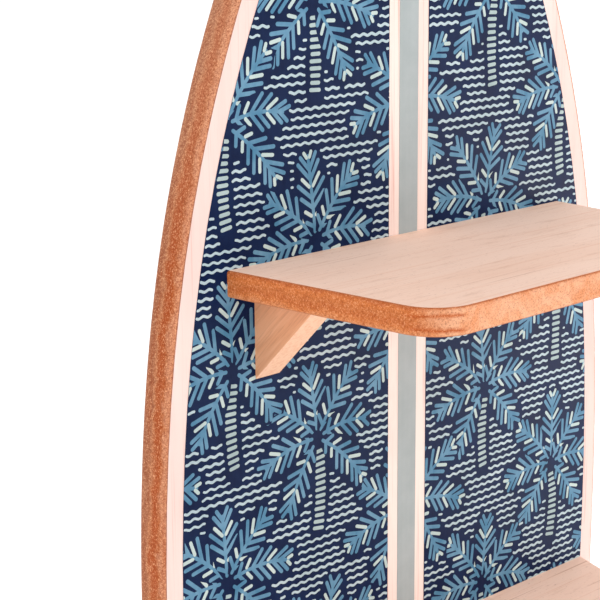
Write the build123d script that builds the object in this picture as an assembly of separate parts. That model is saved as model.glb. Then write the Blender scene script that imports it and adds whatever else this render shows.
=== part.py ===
from build123d import *
import os

# A wall shelf cut to a surfboard's outline. X runs to the viewer's right, the front faces -Y and +Z is up.
# The origin is on the back face, midway between the two keyhole hangers. Heights below are taken from the
# tail, the board's lowest point, and turned into Z by at_height(). All sizes are in millimetres.

HANGER_HEIGHT = 930.0
HANGER_SPACING = 200.0

# Board: a thick fibreboard slab with rounded edges, between two thin veneers that stop at the rounding.
BOARD_HALF_WIDTH = 226.0
BOARD_THICKNESS = 24.0
BOARD_EDGE_RADIUS = 4.0
BOARD_VENEER = 0.5
WIDEST_HEIGHT = 565.0
NOSE_CURVE = ((226.0, 873.0), (159.0, 967.0), (74.0, 1153.5), (0.0, 1202.4))  # control points, up from the widest
TAIL_CURVE = ((226.0, 320.0), (205.0, 90.0), (75.0, 6.0))  # control points, down from the widest, to the tail corner
NOSE_RADIUS = 12.0
TAIL_CORNER_RADIUS = 20.0
REDRAW_STEP = 30.0

# Printed film panels and the centre stripe, stuck on the front veneer.
FILM = 0.3
PRINT_MARGIN = 13.2  # bare veneer left outside the print
PRINT_INNER = 19.4  # half the gap between the two panels
STRIPE_HALF_WIDTH = 9.15

# Shelves: height of the top surface, half-width at the board and half-width at the front edge.
SHELVES = {
    "upper": (800.0, 166.3, 152.7),
    "middle": (500.0, 209.6, 154.3),
    "lower": (200.0, 160.0, 148.0),
}
SHELF_DEPTH = 167.0
SHELF_THICKNESS = 17.5
SHELF_CORNER_RADIUS = 30.0
SHELF_EDGE_RADIUS = 1.6
SHELF_VENEER = 0.4

# Bracket blocks: right triangles of solid wood under each shelf.
BRACKET_LEG = 58.0
BRACKET_THICKNESS = 21.5
BRACKET_OUTER = 143.7  # from the centre line to the outer face
BRACKET_EDGE_RADIUS = 0.6

# Joinery. Holes are wider than what goes in them by a hair, so that no solids overlap.
FIT_GAP = 0.05
SCREW_RADIUS = 2.0
SCREW_CORE_RADIUS = 1.4
SCREW_HEAD_RADIUS = 4.0
SCREW_HEAD_HEIGHT = 2.6
SCREW_SUNK = 0.3  # how far a head sits below the back face
THREAD_PITCH = 2.0
SHELF_SCREW_LENGTH = 60.0
SHELF_SCREW_PLACES = (-110.0, 0.0, 110.0)
BRACKET_SCREW_LENGTH = 42.0
DOWEL_RADIUS = 4.0
DOWEL_LENGTH = 36.0
DOWEL_IN_BOARD = 14.0
DOWEL_PLACES = (-70.0, 70.0)
BRACKET_DOWEL_RADIUS = 3.0
BRACKET_DOWEL_LENGTH = 22.0
BRACKET_DOWEL_IN_SHELF = 9.0
DOWEL_CHAMFER = 1.0

# Keyhole hangers: steel plates let in flush with the back, over a pocket for the wall screw's head.
PLATE_LENGTH = 54.0
PLATE_WIDTH = 20.0
PLATE_THICKNESS = 2.0
PLATE_SCREW_OFFSET = 20.0
KEYHOLE_ENTRY_RADIUS = 6.0
KEYHOLE_NECK_WIDTH = 6.0
KEYHOLE_RISE = 10.0  # from the entry's centre up to the neck's rounded end
POCKET_WIDTH = 13.0
POCKET_DEPTH = 11.0
HANGER_SCREW_RADIUS = 1.5
HANGER_SCREW_CORE_RADIUS = 1.05
HANGER_SCREW_HEAD_RADIUS = 2.9
HANGER_SCREW_HEAD_HEIGHT = 1.7
HANGER_SCREW_LENGTH = 14.0
HANGER_THREAD_PITCH = 1.2

BOARD_FRONT = -BOARD_THICKNESS
MOUNTING_PLANE = BOARD_FRONT - FILM  # the rear edges of shelves and brackets stand against the films


def at_height(height):
    """Z of a height above the tail."""
    return height - HANGER_HEIGHT


def slab(face, back, front):
    """A face drawn in the XZ plane, thickened from one depth behind the back face to another."""
    return extrude(Plane.XZ.offset(back) * face, front - back)


def board_face(inset=0.0):
    """The board's outline seen from the front: on each side a curve to the nose and a curve to the tail."""
    side = [
        Bezier(*[(x, at_height(height)) for x, height in ((BOARD_HALF_WIDTH, WIDEST_HEIGHT), *curve)])
        for curve in (NOSE_CURVE, TAIL_CURVE)
    ]
    half_tail, corner_height = TAIL_CURVE[-1]
    tail = ThreePointArc(
        (half_tail, at_height(corner_height)), (0, at_height(0)), (-half_tail, at_height(corner_height))
    )
    face = make_face(side + [mirror(edge, about=Plane.YZ) for edge in side] + [tail])
    corners = face.vertices().sort_by(Axis.Y)
    face = fillet([corners[0], corners[1]], TAIL_CORNER_RADIUS)
    face = fillet(face.vertices().sort_by(Axis.Y)[-1], NOSE_RADIUS)
    return redrawn(offset(face, -inset)) if inset else face


def redrawn(face):
    """The same outline, with each long edge as one smooth spline through points on it."""
    edges = []
    for edge in face.edges():
        count = max(2, round(edge.length / REDRAW_STEP))
        points = [edge.position_at(i / count) for i in range(count + 1)]
        edges.append(Spline(*points, tangents=(edge.tangent_at(0), edge.tangent_at(1))))
    return make_face(edges)


def printed_face(side):
    """One printed panel: the outline, inset, on one side (-1 or 1) of the centre stripes."""
    reach = 2 * BOARD_HALF_WIDTH
    half = Pos(side * (PRINT_INNER + reach / 2), 0) * Rectangle(reach, 4 * HANGER_HEIGHT)
    return board_face(BOARD_EDGE_RADIUS + PRINT_MARGIN) & half


def stripe_face():
    """The centre stripe, which ends where the printed panels do."""
    band = Rectangle(2 * STRIPE_HALF_WIDTH, 4 * HANGER_HEIGHT)
    return board_face(BOARD_EDGE_RADIUS + PRINT_MARGIN) & band


def shelf_face(name, inset=0.0):
    """A shelf seen from above: tapered, with round front corners. An inset leaves the rear edge where it is."""
    _, rear, front = SHELVES[name]
    spread = rear - front
    front_y = MOUNTING_PLANE - SHELF_DEPTH
    behind_y = MOUNTING_PLANE + SHELF_DEPTH
    outline = Polyline(
        (-front, front_y), (front, front_y), (rear + spread, behind_y), (-rear - spread, behind_y), close=True
    )
    face = make_face(outline)
    face = fillet(face.vertices().sort_by(Axis.Y)[:2], SHELF_CORNER_RADIUS)
    if inset:
        face = offset(face, -inset)
    in_front = Pos(0, MOUNTING_PLANE - SHELF_DEPTH) * Rectangle(4 * rear, 2 * SHELF_DEPTH)
    return face & in_front


def screw(length, radius, core, head_radius, head_height, pitch):
    """A countersunk wood screw along +Z, with its head's flat top at Z 0 and its tip at Z -length."""
    tip = 2.5 * radius
    outline = [(0, 0), (head_radius, 0), (radius, -head_height), (radius, -length * 0.35)]
    depth = length * 0.35
    while depth + pitch < length - tip:
        outline += [(core, -depth - pitch * 0.25), (radius, -depth - pitch * 0.5), (core, -depth - pitch)]
        depth += pitch
    outline += [(core, -length + tip), (0, -length)]
    body = revolve(Plane.XZ * make_face(Polyline(*outline, close=True)), Axis.Z)
    slot = Box(head_radius * 1.1, head_radius * 0.25, head_height)
    return body - slot - Rot(0, 0, 90) * slot


def screw_hole(length, radius, head_radius, head_height):
    """The space a screw takes: a countersink, open above the head, and a plain hole to just past the tip."""
    r, head = radius + FIT_GAP, head_radius + FIT_GAP
    outline = [
        (0, head_height),
        (head, head_height),
        (head, -FIT_GAP),
        (r, -head_height - FIT_GAP),
        (r, -length + radius),
        (0, -length - FIT_GAP),
    ]
    return revolve(Plane.XZ * make_face(Polyline(*outline, close=True)), Axis.Z)


def dowel(radius, length, gap=0.0):
    """A dowel pin centred on the origin along Z, with chamfered ends. A gap makes its hole."""
    pin = Cylinder(radius + gap, length + 2 * gap)
    return pin if gap else chamfer(pin.edges(), DOWEL_CHAMFER)


FORWARD = Rot(-90, 0, 0)  # turns a fastener's +Z, the way its head faces, to the back of the board, +Y


def each_bracket():
    """(shelf name, side word, side sign, height of the shelf's underside) of every bracket."""
    for name, (top, _, _) in SHELVES.items():
        for word, sign in (("left", -1), ("right", 1)):
            yield name, word, sign, at_height(top - SHELF_THICKNESS)


def bracket_middle(sign):
    return sign * (BRACKET_OUTER - BRACKET_THICKNESS / 2)


def shelf_screw_sites():
    for top, _, _ in SHELVES.values():
        for x in SHELF_SCREW_PLACES:
            yield Pos(x, -SCREW_SUNK, at_height(top - SHELF_THICKNESS / 2)) * FORWARD


def bracket_screw_sites():
    for _, _, sign, under in each_bracket():
        yield Pos(bracket_middle(sign), -SCREW_SUNK, under - BRACKET_LEG * 0.42) * FORWARD


def dowel_sites():
    middle_y = BOARD_FRONT + DOWEL_IN_BOARD - DOWEL_LENGTH / 2
    for top, _, _ in SHELVES.values():
        for x in DOWEL_PLACES:
            yield Pos(x, middle_y, at_height(top - SHELF_THICKNESS / 2)) * FORWARD


def bracket_dowel_sites():
    for _, _, sign, under in each_bracket():
        height = under + BRACKET_DOWEL_IN_SHELF - BRACKET_DOWEL_LENGTH / 2
        yield Pos(bracket_middle(sign), MOUNTING_PLANE - BRACKET_LEG * 0.55, height)


def hanger_sites():
    """(side word, place of the keyhole entry's centre on the back face)."""
    yield "left", Pos(-HANGER_SPACING / 2, 0, 0)
    yield "right", Pos(HANGER_SPACING / 2, 0, 0)


def hanger_screw_sites():
    for _, place in hanger_sites():
        for up in (-1, 1):
            yield place * Pos(0, 0, KEYHOLE_RISE / 2 + up * PLATE_SCREW_OFFSET) * FORWARD


def plate_face(gap=0.0):
    """A hanger plate's round-ended outline, centred between the keyhole's two ends."""
    return Pos(0, KEYHOLE_RISE / 2) * SlotOverall(PLATE_LENGTH + 2 * gap, PLATE_WIDTH + 2 * gap, rotation=90)


def keyhole_face():
    """A round entry with a narrower, round-ended neck above it."""
    neck_end = Pos(0, KEYHOLE_RISE) * Circle(KEYHOLE_NECK_WIDTH / 2)
    neck = Pos(0, KEYHOLE_RISE / 2) * Rectangle(KEYHOLE_NECK_WIDTH, KEYHOLE_RISE)
    return Circle(KEYHOLE_ENTRY_RADIUS) + neck + neck_end


def hanger_recess():
    """The flush recess for a plate and the deeper pocket behind its keyhole, at the origin."""
    pocket_face = Pos(0, KEYHOLE_RISE / 2) * SlotOverall(KEYHOLE_RISE + POCKET_WIDTH + 3, POCKET_WIDTH, rotation=90)
    return slab(plate_face(FIT_GAP), -1, PLATE_THICKNESS) + slab(pocket_face, -1, POCKET_DEPTH)


def make_holes():
    """Every hole, listed by what goes into it."""
    wood_screw = (SCREW_RADIUS, SCREW_HEAD_RADIUS, SCREW_HEAD_HEIGHT)
    small_screw = (HANGER_SCREW_RADIUS, HANGER_SCREW_HEAD_RADIUS, HANGER_SCREW_HEAD_HEIGHT)
    kinds = {
        "shelf_screws": (shelf_screw_sites(), screw_hole(SHELF_SCREW_LENGTH, *wood_screw)),
        "bracket_screws": (bracket_screw_sites(), screw_hole(BRACKET_SCREW_LENGTH, *wood_screw)),
        "hanger_screws": (hanger_screw_sites(), screw_hole(HANGER_SCREW_LENGTH, *small_screw)),
        "shelf_dowels": (dowel_sites(), dowel(DOWEL_RADIUS, DOWEL_LENGTH, FIT_GAP)),
        "bracket_dowels": (bracket_dowel_sites(), dowel(BRACKET_DOWEL_RADIUS, BRACKET_DOWEL_LENGTH, FIT_GAP)),
        "hangers": ((place for _, place in hanger_sites()), hanger_recess()),
    }
    return {name: [site * hole for site in sites] for name, (sites, hole) in kinds.items()}


def bored(solid, cutters):
    """The solid, less each cutter that reaches it."""
    box = solid.bounding_box()
    for cutter in cutters:
        other = cutter.bounding_box()
        apart = any(
            a_low > b_high or b_low > a_high
            for a_low, a_high, b_low, b_high in zip(box.min, box.max, other.min, other.max)
        )
        if not apart:
            solid -= cutter
    return solid


def make_board():
    """The slab and its two veneers."""
    core = slab(board_face(), BOARD_VENEER, BOARD_THICKNESS - BOARD_VENEER)
    rims = core.faces().filter_by(Axis.Y).edges()
    core = fillet(rims, BOARD_EDGE_RADIUS)
    sheet = board_face(BOARD_EDGE_RADIUS)
    return {
        "board_core": core,
        "front_veneer": slab(sheet, BOARD_THICKNESS - BOARD_VENEER, BOARD_THICKNESS),
        "back_veneer": slab(sheet, 0, BOARD_VENEER),
    }


def make_films():
    """The printed panels and the centre stripe."""
    front = BOARD_THICKNESS + FILM
    return {
        "printed_panel_left": slab(printed_face(-1), BOARD_THICKNESS, front),
        "printed_panel_right": slab(printed_face(1), BOARD_THICKNESS, front),
        "centre_stripe": slab(stripe_face(), BOARD_THICKNESS, front),
    }


def make_shelf(name):
    """A shelf's core, rounded along its free edges, and the veneers above and below it."""
    top = at_height(SHELVES[name][0])
    under = top - SHELF_THICKNESS
    core_thickness = SHELF_THICKNESS - 2 * SHELF_VENEER
    core = Pos(0, 0, under + SHELF_VENEER) * extrude(shelf_face(name), core_thickness)
    rims = core.faces().filter_by(Axis.Z).edges()
    free = rims.filter_by(lambda edge: edge.center().Y < MOUNTING_PLANE - 1)
    core = fillet(free, SHELF_EDGE_RADIUS)
    veneer = extrude(shelf_face(name, SHELF_EDGE_RADIUS), SHELF_VENEER)
    return {
        f"{name}_shelf_core": core,
        f"{name}_shelf_top_veneer": Pos(0, 0, top - SHELF_VENEER) * veneer,
        f"{name}_shelf_bottom_veneer": Pos(0, 0, under) * veneer,
    }


def make_bracket(sign, under):
    """A triangular block in the corner under a shelf."""
    corner = (MOUNTING_PLANE, under)
    outline = Polyline(
        corner, (MOUNTING_PLANE - BRACKET_LEG, under), (MOUNTING_PLANE, under - BRACKET_LEG), close=True
    )
    block = extrude(Plane.YZ * make_face(outline), BRACKET_THICKNESS / 2, both=True)
    sloping = block.faces().sort_by(Axis((0, 0, 0), (0, -1, -1)))[-1]
    block = fillet(sloping.edges().filter_by(Axis.X, reverse=True), BRACKET_EDGE_RADIUS)
    return Pos(bracket_middle(sign), 0, 0) * block


def make_fasteners():
    """Screws and dowels, alike ones together."""
    wood_screw = (SCREW_RADIUS, SCREW_CORE_RADIUS, SCREW_HEAD_RADIUS, SCREW_HEAD_HEIGHT, THREAD_PITCH)
    small_screw = (
        HANGER_SCREW_RADIUS,
        HANGER_SCREW_CORE_RADIUS,
        HANGER_SCREW_HEAD_RADIUS,
        HANGER_SCREW_HEAD_HEIGHT,
        HANGER_THREAD_PITCH,
    )
    shelf_screw = screw(SHELF_SCREW_LENGTH, *wood_screw)
    bracket_screw = screw(BRACKET_SCREW_LENGTH, *wood_screw)
    hanger_screw = screw(HANGER_SCREW_LENGTH, *small_screw)
    pin = dowel(DOWEL_RADIUS, DOWEL_LENGTH)
    bracket_pin = dowel(BRACKET_DOWEL_RADIUS, BRACKET_DOWEL_LENGTH)
    return {
        "shelf_screws": [site * shelf_screw for site in shelf_screw_sites()],
        "bracket_screws": [site * bracket_screw for site in bracket_screw_sites()],
        "shelf_dowels": [site * pin for site in dowel_sites()],
        "bracket_dowels": [site * bracket_pin for site in bracket_dowel_sites()],
        "hanger_screws": [site * hanger_screw for site in hanger_screw_sites()],
    }


def main():
    holes = make_holes()
    parts = {**make_board(), **make_films()}
    for name in SHELVES:
        parts.update(make_shelf(name))
    for name, word, sign, under in each_bracket():
        parts[f"{name}_{word}_bracket"] = make_bracket(sign, under)
    every_hole = [hole for kind in holes.values() for hole in kind]
    parts = {name: bored(solid, every_hole) for name, solid in parts.items()}
    plate = slab(plate_face() - keyhole_face(), 0, PLATE_THICKNESS)
    for word, place in hanger_sites():
        parts[f"hanger_{word}"] = bored(place * plate, holes["hanger_screws"])
    parts.update({name: Compound(children=pieces) for name, pieces in make_fasteners().items()})
    os.makedirs("parts", exist_ok=True)
    for name, shape in parts.items():
        export_step(shape, f"parts/{name}.step")


main()
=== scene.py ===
import math
import random

import bpy
from mathutils import Matrix, Vector
from mathutils.geometry import convex_hull_2d, delaunay_2d_cdt


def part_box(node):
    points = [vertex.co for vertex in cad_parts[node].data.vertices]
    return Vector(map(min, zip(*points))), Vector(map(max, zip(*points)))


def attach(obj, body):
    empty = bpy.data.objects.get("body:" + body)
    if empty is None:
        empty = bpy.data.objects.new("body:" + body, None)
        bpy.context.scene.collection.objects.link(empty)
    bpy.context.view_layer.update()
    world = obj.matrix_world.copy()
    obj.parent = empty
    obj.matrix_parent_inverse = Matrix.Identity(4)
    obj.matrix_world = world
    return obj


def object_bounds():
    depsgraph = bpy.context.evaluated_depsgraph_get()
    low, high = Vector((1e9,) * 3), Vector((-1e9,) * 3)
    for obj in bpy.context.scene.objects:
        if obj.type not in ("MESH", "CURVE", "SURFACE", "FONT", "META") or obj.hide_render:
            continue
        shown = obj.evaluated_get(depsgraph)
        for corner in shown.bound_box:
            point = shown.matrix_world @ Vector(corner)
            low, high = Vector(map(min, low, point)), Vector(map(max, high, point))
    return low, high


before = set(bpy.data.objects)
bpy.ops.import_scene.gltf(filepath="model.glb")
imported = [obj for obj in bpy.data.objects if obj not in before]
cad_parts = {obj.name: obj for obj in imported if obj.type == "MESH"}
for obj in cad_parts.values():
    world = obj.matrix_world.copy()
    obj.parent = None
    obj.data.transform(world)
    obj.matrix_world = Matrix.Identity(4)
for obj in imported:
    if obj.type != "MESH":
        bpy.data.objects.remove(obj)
cad_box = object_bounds()

# Looks for a surfboard-shaped wall shelf. Everything is in metres in the frame's own axes: X to the
# viewer's right, the front facing -Y, +Z up. Places come from the CAD nodes' boxes.

MM = 0.001
SHELF_NAMES = ("upper", "middle", "lower")
SIDES = ("left", "right")


# ---------------------------------------------------------------- node helpers


def linear(value):
    """One linear channel from an everyday 0-255 value."""
    share = value / 255
    return share / 12.92 if share <= 0.04045 else ((share + 0.055) / 1.055) ** 2.4


def srgb(red, green, blue):
    """A linear colour from everyday 0-255 values."""
    return (linear(red), linear(green), linear(blue), 1.0)


class Nodes:
    """Short calls for building one material's node tree around its Principled shader."""

    def __init__(self, name, roughness):
        self.material = bpy.data.materials.new(name)
        self.material.use_nodes = True
        self.tree = self.material.node_tree
        self.shader = self.tree.nodes["Principled BSDF"]
        self.shader.inputs["Roughness"].default_value = roughness
        self.place = self.add("ShaderNodeTexCoord").outputs["Object"]

    def add(self, kind, **settings):
        node = self.tree.nodes.new(kind)
        for key, value in settings.items():
            setattr(node, key, value)
        return node

    def feed(self, socket, value):
        """Links an output into a socket, or sets a plain value there."""
        if isinstance(value, bpy.types.NodeSocket):
            self.tree.links.new(value, socket)
        else:
            socket.default_value = value

    def moved(self, scale, turn=(0, 0, 0)):
        """Object coordinates, turned and then scaled along the turned axes."""
        turned = self.add("ShaderNodeMapping")
        self.feed(turned.inputs["Vector"], self.place)
        turned.inputs["Rotation"].default_value = turn
        scaled = self.add("ShaderNodeMapping")
        self.feed(scaled.inputs["Vector"], turned.outputs["Vector"])
        scaled.inputs["Scale"].default_value = scale
        return scaled.outputs["Vector"]

    def along(self, axis, lengthwise, crosswise):
        """Object coordinates scaled one way along an axis and another way across it."""
        return self.moved([lengthwise if i == axis else crosswise for i in range(3)])

    def noise(self, vector, detail=3.0, roughness=0.5, distortion=0.0):
        node = self.add("ShaderNodeTexNoise")
        self.feed(node.inputs["Vector"], vector)
        node.inputs["Scale"].default_value = 1.0
        node.inputs["Detail"].default_value = detail
        node.inputs["Roughness"].default_value = roughness
        node.inputs["Distortion"].default_value = distortion
        return node.outputs["Fac"]

    def ramp(self, factor, *stops):
        """A colour ramp from (position, colour) stops."""
        node = self.add("ShaderNodeValToRGB")
        self.feed(node.inputs["Fac"], factor)
        elements = node.color_ramp.elements
        while len(elements) < len(stops):
            elements.new(0.5)
        for element, (position, colour) in zip(elements, stops):
            element.position = position
            element.color = colour
        return node.outputs["Color"]

    def spread(self, factor, low, high, to_low=0.0, to_high=1.0):
        """A value between low and high, stretched to a new range and held there."""
        node = self.add("ShaderNodeMapRange")
        self.feed(node.inputs["Value"], factor)
        ends = {"From Min": low, "From Max": high, "To Min": to_low, "To Max": to_high}
        for socket, value in ends.items():
            node.inputs[socket].default_value = value
        return node.outputs["Result"]

    def mix(self, factor, first, second):
        """A colour between two others. The numbers are the places of the node's colour sockets."""
        node = self.add("ShaderNodeMix", data_type="RGBA")
        self.feed(node.inputs[0], factor)
        self.feed(node.inputs[6], first)
        self.feed(node.inputs[7], second)
        return node.outputs[2]

    def maths(self, operation, first, second=0.0):
        node = self.add("ShaderNodeMath", operation=operation)
        self.feed(node.inputs[0], first)
        self.feed(node.inputs[1], second)
        return node.outputs[0]

    def part(self, axis):
        """One coordinate, 0, 1 or 2, of the place in the frame."""
        node = self.add("ShaderNodeSeparateXYZ")
        self.feed(node.inputs[0], self.place)
        return node.outputs[axis]

    def facing(self, axis):
        """How far a surface faces along an axis: 1 towards its high end, -1 towards its low end."""
        node = self.add("ShaderNodeSeparateXYZ")
        self.feed(node.inputs[0], self.add("ShaderNodeNewGeometry").outputs["Normal"])
        return node.outputs[axis]

    def bump(self, height, distance, strength=1.0):
        node = self.add("ShaderNodeBump")
        node.inputs["Distance"].default_value = distance
        node.inputs["Strength"].default_value = strength
        self.feed(node.inputs["Height"], height)
        self.feed(self.shader.inputs["Normal"], node.outputs["Normal"])

    def finish(self, colour, **sockets):
        """Sets the base colour and any other sockets, named with underscores for spaces."""
        self.feed(self.shader.inputs["Base Color"], colour)
        for name, value in sockets.items():
            self.feed(self.shader.inputs[name.replace("_", " ")], value)
        return self.material


# ---------------------------------------------------------------- materials

# Painted light: the board's side is painted paler towards its upper height, where more light falls on it.
MOST_PAINTED_LIGHT = 0.34  # how far the board's side has grown paler at its upper height

# Where a shelf's rounded corner is streaked: (share of the thickness, how much).
CORNER_STREAKS = tuple(
    (share, (amount, amount, amount, 1.0))
    for share, amount in ((0.08, 0.0), (0.18, 1.0), (0.32, 0.0), (0.6, 0.0), (0.7, 1.0), (0.82, 0.0))
)


def streaked(made, across, colour, amount):
    """Darkens two wandering bands where a surface turns from the side to the front."""
    wander = made.noise(made.moved((30, 30, 90)), detail=2.0)
    level = made.maths("ADD", across, made.spread(wander, 0.3, 0.7, -0.06, 0.06))
    rounding = made.maths("ABSOLUTE", made.maths("MULTIPLY", made.facing(0), made.facing(1)))
    strength = made.maths("MULTIPLY", made.spread(rounding, 0.06, 0.3), amount)
    band = made.maths("MULTIPLY", made.ramp(level, *CORNER_STREAKS), strength)
    return made.mix(band, colour, srgb(180, 82, 26))


def speckled(made, colour, amount):
    """Adds the pale fibres and dark pits that sanding leaves on fibreboard, and their relief."""
    coarse = made.noise(made.moved((700, 700, 700)), detail=2.0, roughness=0.6)
    dust = made.noise(made.moved((1600, 1600, 1600)), detail=2.0, roughness=0.7)
    fibres = made.maths("ADD", made.maths("MULTIPLY", coarse, 0.45), made.maths("MULTIPLY", dust, 0.55))
    made.bump(fibres, 0.14 * MM, 0.7)
    flecked = made.mix(made.spread(fibres, 0.53, 0.62, 0.0, amount), colour, srgb(238, 176, 132))
    return made.mix(made.spread(fibres, 0.48, 0.4, 0.0, amount), flecked, srgb(130, 54, 16))


def fibreboard(name, axis, start, end, run, profile, painted_front_light, speckle, streaks=0.0, painted_light_heights=None):
    """Sanded fibreboard. profile is (share of the thickness, colour) stops from start to end along an axis,
    and run is the axis its edge mostly runs along. The next argument paints a highlight: how far the colour
    is painted paler where the surface faces the front, standing for the front light on it. speckle and
    streaks are how strong its specks and corner bands are. The last argument is two heights between which
    the profile is painted paler upwards, painted light where more light falls on the upper part."""
    made = Nodes(name, 0.6)
    across = made.spread(made.part(axis), start, end)
    patches = made.noise(made.moved((55, 55, 55)), detail=4.0, roughness=0.65, distortion=0.6)
    drift = made.spread(patches, 0.3, 0.7, -0.14, 0.14)
    layers = made.ramp(made.maths("ADD", across, drift), *profile)
    pressed = made.noise(made.along(run, 14, 300), detail=3.0, distortion=0.3)
    layers = made.mix(made.spread(pressed, 0.52, 0.7, 0.0, 0.5), layers, srgb(164, 70, 10))
    # Painted light: between the two heights the side is painted paler upwards, standing for the light that
    # falls more on its upper part.
    if painted_light_heights:
        rise = made.spread(made.part(2), *painted_light_heights, 0.0, MOST_PAINTED_LIGHT)
        layers = made.mix(rise, layers, srgb(210, 154, 122))
    # Painted highlight: surfaces that face the front are painted towards the paler colour made here,
    # standing for the front light on them.
    pale = made.mix(made.spread(patches, 0.42, 0.64), srgb(232, 177, 141), srgb(219, 144, 98))
    forward = made.spread(made.facing(1), -0.3, -0.9, 0.0, painted_front_light)
    colour = made.mix(forward, layers, pale)
    if streaks:
        colour = streaked(made, across, colour, streaks)
    return made.finish(speckled(made, colour, speckle), Specular_IOR_Level=0.2)


def smeared(made, grain, colour, amount):
    """Adds soft smears and small dark specks along the grain."""
    smears = made.noise(made.along(grain, 24, 130), detail=4.0, roughness=0.7)
    colour = made.mix(made.spread(smears, 0.56, 0.72, 0.0, amount), colour, srgb(206, 150, 116))
    spots = made.noise(made.along(grain, 240, 900), detail=2.0)
    return made.mix(made.spread(spots, 0.64, 0.72, 0.0, amount), colour, srgb(160, 100, 66))


def veneer(name, tones, grain, strength, flecks=0.0, rim_tone=None):
    """A veneer smoothed flat by sanding. tones are its pale, grain and cut edge colours, and grain is the
    axis its grain runs along. flecks adds smears and specks, and rim_tone deepens it towards the board's
    sides."""
    made = Nodes(name, 0.55)
    pale, dark, cut = tones
    fine = made.noise(made.along(grain, 5, 330), detail=5.0, roughness=0.6, distortion=0.15)
    broad = made.noise(made.along(grain, 2.6, 30), detail=4.0, roughness=0.6, distortion=0.9)
    lines = made.maths("MULTIPLY", made.spread(fine, 0.56, 0.68), 1.1)
    bands = made.maths("MULTIPLY", made.spread(broad, 0.44, 0.72), 0.6)
    shade = made.maths("MULTIPLY", made.maths("ADD", lines, bands), strength)
    colour = made.mix(shade, pale, dark)
    if rim_tone:
        aside = made.spread(made.maths("ABSOLUTE", made.part(0)), 30 * MM, 110 * MM)
        colour = made.mix(aside, colour, made.mix(shade, rim_tone, dark))
    hairlines = made.noise(made.along(grain, 4, 420), detail=1.0)
    colour = made.mix(made.spread(hairlines, 0.7, 0.75, 0.0, 0.55), colour, cut)
    if flecks:
        colour = smeared(made, grain, colour, flecks)
    face_axis = 1 if grain == 2 else 2
    edge = made.spread(made.maths("ABSOLUTE", made.facing(face_axis)), 0.6, 0.3)
    made.bump(fine, 0.02 * MM, 0.4)
    return made.finish(made.mix(edge, colour, cut))


def bracket_wood(name):
    """Solid wood whose grain runs along a bracket's sloping face. That face is plainer with flecks from
    planing, and is also painted paler, a painted highlight for the front light on it.
    """
    made = Nodes(name, 0.5)
    slope = (math.radians(45), 0, 0)
    rings = made.noise(made.moved((70, 6, 120), slope), detail=4.0, roughness=0.5, distortion=0.4)
    fine = made.noise(made.moved((520, 30, 800), slope), detail=4.0, roughness=0.65, distortion=0.8)
    tones = ((0.32, srgb(236, 174, 134)), (0.52, srgb(226, 160, 118)), (0.68, srgb(236, 178, 140)))
    base = made.ramp(rings, *tones)
    colour = made.mix(made.spread(fine, 0.48, 0.7, 0.0, 0.4), base, srgb(180, 112, 72))
    flecks = made.noise(made.moved((380, 380, 380)), detail=3.0, roughness=0.7)
    # Partly real and partly painted light: the forward-facing sloping face is plainer with flecks, and
    # painted paler as a highlight from the front light.
    planed_and_lit_face = made.mix(made.spread(flecks, 0.45, 0.68), srgb(243, 199, 168), srgb(233, 177, 141))
    colour = made.mix(made.spread(made.facing(1), -0.4, -0.7), colour, planed_and_lit_face)
    made.bump(fine, 0.05 * MM, 0.5)
    return made.finish(colour)


def film(name, base, other):
    """Satin printed film over wood: nearly even, with a faint mottle and the veneer's grain under it."""
    made = Nodes(name, 0.5)
    grain = made.noise(made.moved((300, 300, 5)), detail=3.0)
    mottle = made.noise(made.moved((45, 45, 45)), detail=4.0, roughness=0.6)
    both = made.maths("ADD", made.maths("MULTIPLY", grain, 0.2), made.maths("MULTIPLY", mottle, 0.8))
    colour = made.mix(made.spread(both, 0.38, 0.62), base, other)
    made.bump(grain, 0.02 * MM, 0.3)
    return made.finish(colour, Roughness=made.spread(mottle, 0.3, 0.7, 0.32, 0.42), Specular_IOR_Level=0.07)


def turned_beech(name):
    made = Nodes(name, 0.5)
    grain = made.noise(made.moved((500, 40, 500)), detail=4.0)
    colour = made.ramp(grain, (0.35, srgb(214, 176, 132)), (0.6, srgb(236, 206, 166)))
    made.bump(grain, 0.05 * MM, 0.5)
    return made.finish(colour)


def plated_steel(name, light, dark, scratched):
    """Zinc plating: soft crystal patches with fine rubbing marks."""
    made = Nodes(name, 0.34)
    patches = made.noise(made.moved((260, 260, 260)), detail=3.0, roughness=0.65)
    marks = made.noise(made.moved((1800, 1800, 90)), detail=2.0)
    tone = made.maths("ADD", patches, made.maths("MULTIPLY", marks, scratched))
    colour = made.mix(made.spread(tone, 0.35, 0.95), dark, light)
    made.bump(marks, 0.02 * MM, 0.5)
    return made.finish(colour, Metallic=1.0, Roughness=made.spread(patches, 0.3, 0.7, 0.26, 0.44))


def give(material, *nodes):
    for name in nodes:
        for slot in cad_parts[name].material_slots:
            slot.material = material


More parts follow.
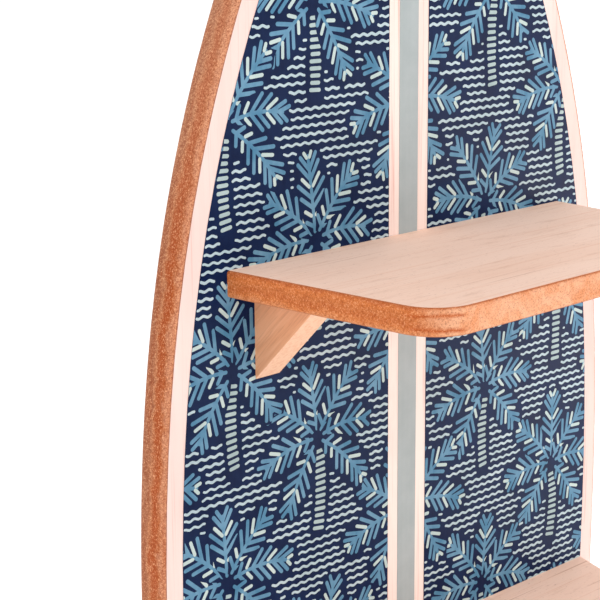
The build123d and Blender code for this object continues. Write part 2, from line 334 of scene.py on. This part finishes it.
def paint_board():
    low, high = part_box("board_core")
    side = (
        (0.05, srgb(176, 116, 84)),
        (0.28, srgb(156, 90, 58)),
        (0.38, srgb(164, 98, 64)),
        (0.46, srgb(188, 120, 80)),
        (0.56, srgb(174, 90, 44)),
        (0.66, srgb(170, 76, 22)),
        (0.78, srgb(171, 78, 22)),
        (0.88, srgb(180, 102, 60)),
        (0.95, srgb(190, 122, 88)),
    )
    # Painted light: the heights between which the board's side is painted paler upwards.
    painted_light_heights = (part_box("upper_shelf_top_veneer")[1].z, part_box("hanger_left")[1].z)
    # 0.12 paints a faint highlight where the board's core faces the front light.
    core = fibreboard("board_fibre", 1, high.y, low.y, 2, side, 0.12, 0.7, painted_light_heights=painted_light_heights)
    give(core, "board_core")
    front_tones = (srgb(243, 222, 213), srgb(222, 170, 158), srgb(164, 116, 98))
    give(veneer("board_veneer", front_tones, 2, 0.75, rim_tone=srgb(238, 209, 201)), "front_veneer")
    back_tones = (srgb(228, 204, 180), srgb(196, 164, 134), srgb(164, 124, 98))
    give(veneer("backing_veneer", back_tones, 2, 0.9, flecks=0.3), "back_veneer")


def paint_films():
    give(film("navy_film", srgb(6, 24, 58), srgb(14, 34, 70)), "printed_panel_left", "printed_panel_right")
    give(film("stripe_film", srgb(160, 169, 170), srgb(168, 176, 177)), "centre_stripe")


def paint_shelves():
    edge = (
        (0.04, srgb(208, 132, 84)),
        (0.2, srgb(208, 122, 66)),
        (0.38, srgb(192, 102, 48)),
        (0.62, srgb(195, 110, 57)),
        (0.84, srgb(204, 114, 56)),
        (0.96, srgb(194, 104, 54)),
    )
    tones = (srgb(252, 215, 194), srgb(237, 184, 153), srgb(190, 122, 80))
    pale = veneer("shelf_veneer", tones, 0, 0.5, flecks=0.38)
    for name in SHELF_NAMES:
        low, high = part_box(f"{name}_shelf_core")
        # 0.78 paints a strong highlight: the shelf's front edge is painted paler where it faces the front
        #                                 light.
        core = fibreboard(f"{name}_shelf_fibre", 2, low.z, high.z, 0, edge, 0.78, 0.55, 0.95)
        give(core, f"{name}_shelf_core")
        give(pale, f"{name}_shelf_top_veneer", f"{name}_shelf_bottom_veneer")


def paint_fittings():
    block = bracket_wood("bracket_wood")
    for name in SHELF_NAMES:
        for side in SIDES:
            give(block, f"{name}_{side}_bracket")
    give(turned_beech("beech"), "shelf_dowels", "bracket_dowels")
    zinc = plated_steel("zinc_screws", srgb(214, 206, 178), srgb(168, 160, 136), 0.3)
    give(zinc, "shelf_screws", "bracket_screws", "hanger_screws")
    plate = plated_steel("hanger_plate", srgb(206, 208, 212), srgb(158, 162, 168), 0.5)
    give(plate, "hanger_left", "hanger_right")


# ---------------------------------------------------------------- the print: flat drawing

# A plain repeat of palms over rows of waves, drawn in millimetres: x from the centre line, and height above
# the board's lowest point. Palms stand in columns, and every second column is half a step higher.
COLUMN_PITCH = 84.0
COLUMNS = range(-3, 4)
PALM_PITCH = 148.0
PALM_ROWS = range(-1, 10)
PALM_JITTER = 7.0
PALM_LEAN = math.radians(12)

CROWN_RADIUS = 5.0  # the dark middle of a palm
FROND_COUNT = 7
FROND_FAN = math.radians(280)  # how far round the fronds go; the trunk hangs in the gap
FROND_LENGTHS = (46.0, 58.0)
FROND_FEET = (5.0, 8.0)  # where a frond starts, out from the crown's middle
FROND_DROOP = math.radians(34)
MIDRIB_HALF_STROKE = 1.3
LEAFLET_PITCH = 6.2
LEAFLET_REACH = 15.5
LEAFLET_SWELL = (0.12, 0.74)  # the part of a half wave that sets leaflet lengths: its start, and how much
REACH_SPREAD = (0.9, 1.1)
LEAFLET_HALF_STROKE = 1.4
PALE_HALF_STROKE = 1.25
LEAFLET_LEANS = (math.radians(60), math.radians(28))  # at the foot and at the tip
PALE_EVERY = 3  # one leaflet in this many is pale
PALE_REACH = 0.75  # its length as a share of a blue one's
HALO = 1.8  # dark ground kept round what lies in front
HALO_HEEL = (2.0, 3.0)  # a frond's halo starts this far behind its foot, and this far to each side

TRUNK_LENGTHS = (56.0, 72.0)
TRUNK_BEND = math.radians(25)
RING_PITCH = 4.6
RING_HALF_LENGTH = 3.6
RING_HALF_STROKE = 1.3
RING_SPREAD = (0.85, 1.1)

ROW_PITCH = 5.5
ROW_JITTER = 0.25
WAVE_PERIOD = 7.6
WAVE_STEPS = 6  # straight steps in one period
WAVE_RISE = 0.62
WAVE_HALF_STROKE = 0.87
STROKE_SPREAD = (0.9, 1.12)
WAVE_GAP = 1.8  # the most that a row stops short of a palm
SHORTEST_SPAN = 0.5
SHORTEST_WAVE = 2.2
ROW_CLEAR = 0.6
EDGE_CLEAR = 0.3
EDGE_REACH = 1.0  # a row that starts or ends within this of the panel's edge runs up to it


ARC_STEP = math.radians(36)


def polar(angle, distance=1.0):
    return Vector((math.cos(angle), math.sin(angle))) * distance


def turn_between(first, second):
    """The signed angle that turns one direction into another, in the plane."""
    return math.atan2(first.x * second.y - first.y * second.x, first.dot(second))


def arc(centre, radius, start, sweep):
    """Points on part of a circle, both ends included."""
    steps = math.ceil(abs(sweep) / ARC_STEP)
    return [centre + polar(start + sweep * i / steps, radius) for i in range(steps + 1)]


def disc(centre, radius):
    return arc(centre, radius, 0, math.tau)[:-1]


def ribbon(points, half):
    """The outline of a stroke with gentle bends and round ends, anticlockwise."""
    legs = [b - a for a, b in zip(points, points[1:])]
    angles = [math.atan2(leg.y, leg.x) for leg in legs]
    quarter = math.pi / 2
    right, left = [], []
    for i in range(1, len(points) - 1):
        turn = turn_between(legs[i - 1], legs[i])
        aside = polar(angles[i - 1] + turn / 2 + quarter, half / math.cos(turn / 2))
        left.append(points[i] + aside)
        right.append(points[i] - aside)
    start = arc(points[0], half, angles[0] + quarter, math.pi)
    end = arc(points[-1], half, angles[-1] - quarter, math.pi)
    return start + right + end + left[::-1]


class Rib:
    """The curved middle of a frond or a trunk: a place on it, or beside it, by distance from the crown."""

    def __init__(self, crown, heading, length, foot, bend):
        self.length = length
        self.foot = foot
        self.crown = crown
        self.bend = bend
        self.start = heading - bend / 2

    def heading(self, distance):
        return self.start + self.bend * distance / self.length

    def at(self, distance, aside=0.0):
        half_turn = self.bend * distance / self.length / 2
        chord = distance * (math.sin(half_turn) / half_turn if abs(half_turn) > 1e-6 else 1.0)
        middle = self.crown + polar(self.start + half_turn, chord)
        return middle + polar(self.heading(distance) + math.pi / 2, aside)

    def leaning(self, distance, side, reach, lean):
        """A point reached from a place on the middle by leaning forward out of it."""
        return self.at(distance + reach * math.cos(lean), side * reach * math.sin(lean))

    def line(self, end, count=6):
        """Points along the middle, from the foot to a distance."""
        return [self.at(self.foot + (end - self.foot) * i / count) for i in range(count + 1)]


def draw_frond(rib, chance):
    """A feather-shaped frond's outlines: (blue midrib and leaflets, pale leaflets, the halo that hides what
    lies behind)."""
    blue = [ribbon(rib.line(rib.length), MIDRIB_HALF_STROKE)]
    pale = []
    count = round((rib.length - rib.foot) / LEAFLET_PITCH)
    rims = []
    for side in (-1, 1):
        rim = [rib.at(rib.foot - HALO_HEEL[0], side * HALO_HEEL[1])]
        for k in range(count):
            share = (k + 0.5) / count
            distance = rib.foot + share * (rib.length - rib.foot)
            lean = LEAFLET_LEANS[0] + (LEAFLET_LEANS[1] - LEAFLET_LEANS[0]) * share
            swell = math.sin(math.pi * (LEAFLET_SWELL[0] + LEAFLET_SWELL[1] * share))
            reach = LEAFLET_REACH * swell * chance.uniform(*REACH_SPREAD)
            rim.append(rib.leaning(distance, side, reach + LEAFLET_HALF_STROKE + HALO, lean))
            if k % PALE_EVERY == 1:
                start = rib.leaning(distance, side, MIDRIB_HALF_STROKE + PALE_HALF_STROKE, lean)
                tip = rib.leaning(distance, side, PALE_REACH * reach, lean)
                pale.append(ribbon([start, tip], PALE_HALF_STROKE))
            else:
                tip = rib.leaning(distance, side, reach, lean)
                blue.append(ribbon([rib.at(distance), tip], LEAFLET_HALF_STROKE))
        rims.append(rim)
    halo = [*rims[0], rib.at(rib.length + MIDRIB_HALF_STROKE + HALO), *rims[1][::-1]]
    return blue, pale, halo


def draw_trunk(rib, chance):
    """A trunk's outlines: a stack of pale rings, with no blue, and its halo."""
    rings = []
    distance = rib.foot + RING_PITCH
    while distance < rib.length:
        half = RING_HALF_LENGTH * chance.uniform(*RING_SPREAD)
        rings.append(ribbon([rib.at(distance, -half), rib.at(distance, half)], RING_HALF_STROKE))
        distance += RING_PITCH
    return [], rings, ribbon(rib.line(rib.length), RING_HALF_LENGTH + RING_HALF_STROKE + HALO)


def spans_at(loop, height):
    """The stretches of a height that lie inside a closed outline, as (low x, high x)."""
    found = []
    for a, b in zip(loop, loop[1:] + loop[:1]):
        if (a.y > height) != (b.y > height):
            found.append(a.x + (b.x - a.x) * (height - a.y) / (b.y - a.y))
    found.sort()
    return list(zip(found[::2], found[1::2]))


def free_spans(low, high, taken):
    """What is left of a stretch when others are taken out of it."""
    free, start = [], low
    for a, b in sorted(taken):
        if a > start:
            free.append((start, min(a, high)))
        start = max(start, b)
    free.append((start, high))
    return [(a, b) for a, b in free if b - a > SHORTEST_SPAN]


def wave(start, end, height, phase, chance):
    """One wavy stroke, or a plain dash where it is short."""
    step = WAVE_PERIOD / WAVE_STEPS
    count = max(1, round((end - start) / step))
    rise = WAVE_RISE * min(1.0, (end - start) / WAVE_PERIOD)
    points = []
    for i in range(count + 1):
        x = start + (end - start) * i / count
        points.append(Vector((x, height + rise * math.sin(math.tau * x / WAVE_PERIOD + phase))))
    return ribbon(points, WAVE_HALF_STROKE * chance.uniform(*STROKE_SPREAD))


def draw_row(height, spans, edges, chance):
    """The strokes of one row. They run up to the panel's edges, and stop short of palms and trunks."""
    waves = []
    phase = chance.uniform(0, math.tau)
    for start, end in spans:
        if start > edges[0] + EDGE_REACH:
            start += chance.uniform(0.0, WAVE_GAP)
        if end < edges[1] - EDGE_REACH:
            end -= chance.uniform(0.0, WAVE_GAP)
        if end - start > SHORTEST_WAVE:
            waves.append(wave(start + WAVE_HALF_STROKE, end - WAVE_HALF_STROKE, height, phase, chance))
    return waves


def apart(first, second):
    """True if the boxes round two outlines don't meet."""
    return (
        max(p.x for p in first) < min(p.x for p in second)
        or min(p.x for p in first) > max(p.x for p in second)
        or max(p.y for p in first) < min(p.y for p in second)
        or min(p.y for p in first) > max(p.y for p in second)
    )


def cut_out(blue, pale, covers, panel):
    """Triangles of the pale shapes, and of the blue ones that show between them, inside the panel and clear
    of the covers. Returns {"blue": (points, triangles), "pale": the same}."""
    loops = [*pale, *blue, *covers, panel]
    points, faces = [], []
    for loop in loops:
        faces.append(list(range(len(points), len(points) + len(loop))))
        points.extend(loop)
    flat, _, triangles, _, _, owners = delaunay_2d_cdt(points, [], faces, 1, 1e-4, True)
    shapes = len(pale) + len(blue)
    inside = len(loops) - 1
    found = {"blue": [], "pale": []}
    for triangle, owner in zip(triangles, owners):
        if inside in owner and min(owner) < shapes and not any(shapes <= i < inside for i in owner):
            found["pale" if min(owner) < len(pale) else "blue"].append(triangle)
    return {colour: (flat, kept) for colour, kept in found.items()}


# ---------------------------------------------------------------- the print: thin plates of ink

INK = {"blue": 0.06 * MM, "pale": 0.1 * MM}  # how proud of the film each ink stands
INK_SUNK = 0.02 * MM


def panel_outline(side):
    """The printed panel's outline, in the drawing's millimetres."""
    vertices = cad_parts[f"printed_panel_{side}"].data.vertices
    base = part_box("board_core")[0].z
    points = [Vector((v.co.x / MM, (v.co.z - base) / MM)) for v in vertices]
    return [points[i] for i in convex_hull_2d(points)]


class Plates:
    """Collects flat shapes and makes one closed plate of each, on the film's front."""

    def __init__(self, name, thickness):
        self.name = name
        self.front = -thickness
        self.points = []
        self.faces = []

    def add(self, points, faces):
        used = sorted({i for face in faces for i in face})
        place = {old: len(self.points) + new for new, old in enumerate(used)}
        self.points.extend(points[i] for i in used)
        self.faces.extend([place[i] for i in face] for face in faces)

    def add_loop(self, loop):
        self.add(loop, [range(len(loop))])

    def make(self, material):
        film_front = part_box("printed_panel_left")[0].y
        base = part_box("board_core")[0].z
        count = len(self.points)
        vertices = [
            (p.x * MM, film_front + depth, base + p.y * MM)
            for depth in (self.front, INK_SUNK)
            for p in self.points
        ]
        edges = {(a, b) for face in self.faces for a, b in zip(face, face[1:] + face[:1])}
        rims = [(a, b) for a, b in edges if (b, a) not in edges]
        back = [[i + count for i in reversed(face)] for face in self.faces]
        walls = [(b, a, a + count, b + count) for a, b in rims]
        mesh = bpy.data.meshes.new(self.name)
        mesh.from_pydata(vertices, [], self.faces + back + sorted(walls))
        mesh.materials.append(material)
        piece = bpy.data.objects.new(self.name, mesh)
        bpy.context.scene.collection.objects.link(piece)
        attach(piece, "root")


class Panel:
    """One printed panel's drawing, from what lies in front to what lies behind."""

    def __init__(self, side):
        self.side = side
        self.chance = random.Random(f"print {side}")
        self.outline = panel_outline(side)
        self.bottom = min(p.y for p in self.outline)
        self.top = max(p.y for p in self.outline)
        self.halos = []
        self.crowns = []
        self.plates = {
            "fronds": Plates(f"print_fronds_{side}", INK["blue"]),
            "highlights": Plates(f"print_highlights_{side}", INK["pale"]),
            "trunks": Plates(f"print_trunks_{side}", INK["pale"]),
            "waves": Plates(f"print_waves_{side}", INK["pale"]),
        }

    def lay(self, drawing, pale_kind):
        """Adds a drawing's ink where nothing in front hides it. Returns its halo in a list, which is empty
        where the drawing lies outside the panel."""
        blue, pale, halo = drawing
        if apart(halo, self.outline):
            return []
        covers = [other for other in self.halos if not apart(other, halo)]
        parts = cut_out(blue, pale, covers, self.outline)
        self.plates["fronds"].add(*parts["blue"])
        self.plates[pale_kind].add(*parts["pale"])
        return [halo]

    def plant(self):
        """Sets out the palms' crowns in columns, with every second column half a step higher."""
        for column in COLUMNS:
            for row in PALM_ROWS:
                place = Vector((column * COLUMN_PITCH, (row + column % 2 / 2) * PALM_PITCH))
                aside = self.chance.uniform(-PALM_JITTER, PALM_JITTER)
                up = self.chance.uniform(-PALM_JITTER, PALM_JITTER)
                self.crowns.append(place + Vector((aside, up)))

    def draw_palms(self):
        for crown in self.crowns:
            lean = self.chance.uniform(-PALM_LEAN, PALM_LEAN)
            for i in range(FROND_COUNT):
                heading = math.pi / 2 + lean + FROND_FAN * (i / (FROND_COUNT - 1) - 0.5)
                length = self.chance.uniform(*FROND_LENGTHS)
                foot = self.chance.uniform(*FROND_FEET)
                rib = Rib(crown, heading, length, foot, -FROND_DROOP * math.cos(heading))
                self.halos += self.lay(draw_frond(rib, self.chance), "highlights")
            self.halos.append(disc(crown, CROWN_RADIUS))

    def draw_trunks(self):
        behind = []
        for crown in self.crowns:
            length = self.chance.uniform(*TRUNK_LENGTHS)
            bend = self.chance.uniform(-TRUNK_BEND, TRUNK_BEND)
            rib = Rib(crown, -math.pi / 2, length, CROWN_RADIUS, bend)
            behind += self.lay(draw_trunk(rib, self.chance), "trunks")
        self.halos += behind

    def taken_at(self, height):
        """The stretches of a row that palms and trunks take up."""
        taken = []
        for halo in self.halos:
            for level in (height - ROW_CLEAR, height, height + ROW_CLEAR):
                taken += [(a - ROW_CLEAR, b + ROW_CLEAR) for a, b in spans_at(halo, level)]
        return taken

    def draw_waves(self):
        height = self.bottom + ROW_PITCH / 2
        while height < self.top:
            taken = self.taken_at(height)
            for low, high in spans_at(self.outline, height):
                edges = (low + EDGE_CLEAR, high - EDGE_CLEAR)
                for stroke in draw_row(height, free_spans(*edges, taken), edges, self.chance):
                    self.plates["waves"].add_loop(stroke)
            height += ROW_PITCH + self.chance.uniform(-ROW_JITTER, ROW_JITTER)


def print_panels():
    inks = {
        "fronds": film("blue_ink", srgb(72, 121, 151), srgb(106, 147, 173)),
        "trunks": film("sage_ink", srgb(155, 175, 176), srgb(171, 188, 188)),
        "highlights": film("pale_ink", srgb(172, 191, 190), srgb(190, 205, 202)),
        "waves": film("wave_ink", srgb(166, 186, 193), srgb(183, 200, 206)),
    }
    for side in SIDES:
        panel = Panel(side)
        panel.plant()
        panel.draw_palms()
        panel.draw_trunks()
        panel.draw_waves()
        for kind, plate in panel.plates.items():
            plate.make(inks[kind])


# ---------------------------------------------------------------- studio

FLOOR_DROP = 0.1
FLOOR_SIZE = 60.0


def area_light(name, place, aim, size, power, colour=(1, 1, 1)):
    data = bpy.data.lights.new(name, "AREA")
    data.shape = "SQUARE"
    data.size = size
    data.energy = power
    data.color = colour
    light = bpy.data.objects.new(name, data)
    light.location = place
    light.rotation_mode = "QUATERNION"
    light.rotation_quaternion = (Vector(aim) - Vector(place)).to_track_quat("-Z", "Y")
    bpy.context.scene.collection.objects.link(light)


def pale_surround():
    """White all round at eye level, and a little dimmer overhead."""
    world = bpy.data.worlds.new("surround")
    world.use_nodes = True
    tree = world.node_tree
    height = tree.nodes.new("ShaderNodeSeparateXYZ")
    tree.links.new(tree.nodes.new("ShaderNodeTexCoord").outputs["Generated"], height.inputs[0])
    level = tree.nodes.new("ShaderNodeMapRange")
    for socket, value in (("From Min", 0.22), ("From Max", 0.5), ("To Min", 1.02), ("To Max", 0.72)):
        level.inputs[socket].default_value = value
    tree.links.new(height.outputs["Z"], level.inputs["Value"])
    background = tree.nodes["Background"]
    background.inputs["Color"].default_value = (1, 1, 1, 1)
    tree.links.new(level.outputs["Result"], background.inputs["Strength"])
    return world


def make_studio():
    """A pale floor, a white surround and large soft lights, the strongest from the front and the right."""
    scene = bpy.context.scene
    scene.view_settings.view_transform = "Standard"
    scene.world = pale_surround()

    low, high = cad_box
    floor_mesh = bpy.data.meshes.new("floor")
    reach = FLOOR_SIZE / 2
    level = low.z - FLOOR_DROP
    corners = [(x * reach, y * reach, level) for x, y in ((-1, -1), (1, -1), (1, 1), (-1, 1))]
    floor_mesh.from_pydata(corners, [], [(0, 1, 2, 3)])
    floor = bpy.data.objects.new("floor", floor_mesh)
    pale = Nodes("pale_floor", 0.9)
    dust = pale.noise(pale.moved((2, 2, 2)), detail=2.0)
    even = pale.ramp(dust, (0.3, (0.93, 0.93, 0.93, 1)), (0.7, (0.96, 0.96, 0.96, 1)))
    floor_mesh.materials.append(pale.finish(even, Emission_Color=(1, 1, 1, 1), Emission_Strength=0.4))
    scene.collection.objects.link(floor)

    middle = (low + high) / 2
    area_light("key", middle + Vector((3.0, -4.4, 4.8)), middle, 2.8, 148)
    area_light("side_card", middle + Vector((1.9, -1.1, -0.3)), middle, 1.0, 11, (1.0, 0.86, 0.8))
    area_light("side_fill", middle + Vector((-2.3, -1.0, 1.7)), middle, 1.6, 16)


# ---------------------------------------------------------------- camera

LENS = 102.16
AZIMUTH = math.radians(-43.4)
ELEVATION = math.radians(13.84)
ROLL = math.radians(-0.52)
AIM_X = -0.1036
AIM_BELOW_SHELF = 0.0299
DISTANCE = 1.1162


def make_camera():
    """Looks down and to the right across the upper half of the board, from the front left."""
    back = Vector(
        (
            math.sin(AZIMUTH) * math.cos(ELEVATION),
            -math.cos(AZIMUTH) * math.cos(ELEVATION),
            math.sin(ELEVATION),
        )
    )
    shelf_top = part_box("upper_shelf_top_veneer")[1].z
    board_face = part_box("printed_panel_left")[0].y
    aim = Vector((AIM_X, board_face, shelf_top - AIM_BELOW_SHELF))
    data = bpy.data.cameras.new("camera")
    data.lens = LENS
    data.sensor_width = 36
    data.clip_start = 0.05
    camera = bpy.data.objects.new("camera", data)
    level = (-back).to_track_quat("-Z", "Y").to_matrix().to_4x4()
    camera.matrix_world = Matrix.Translation(aim + back * DISTANCE) @ level @ Matrix.Rotation(ROLL, 4, "Z")
    bpy.context.scene.collection.objects.link(camera)
    bpy.context.scene.camera = camera


make_camera()
make_studio()
paint_board()
paint_films()
paint_shelves()
paint_fittings()
print_panels()
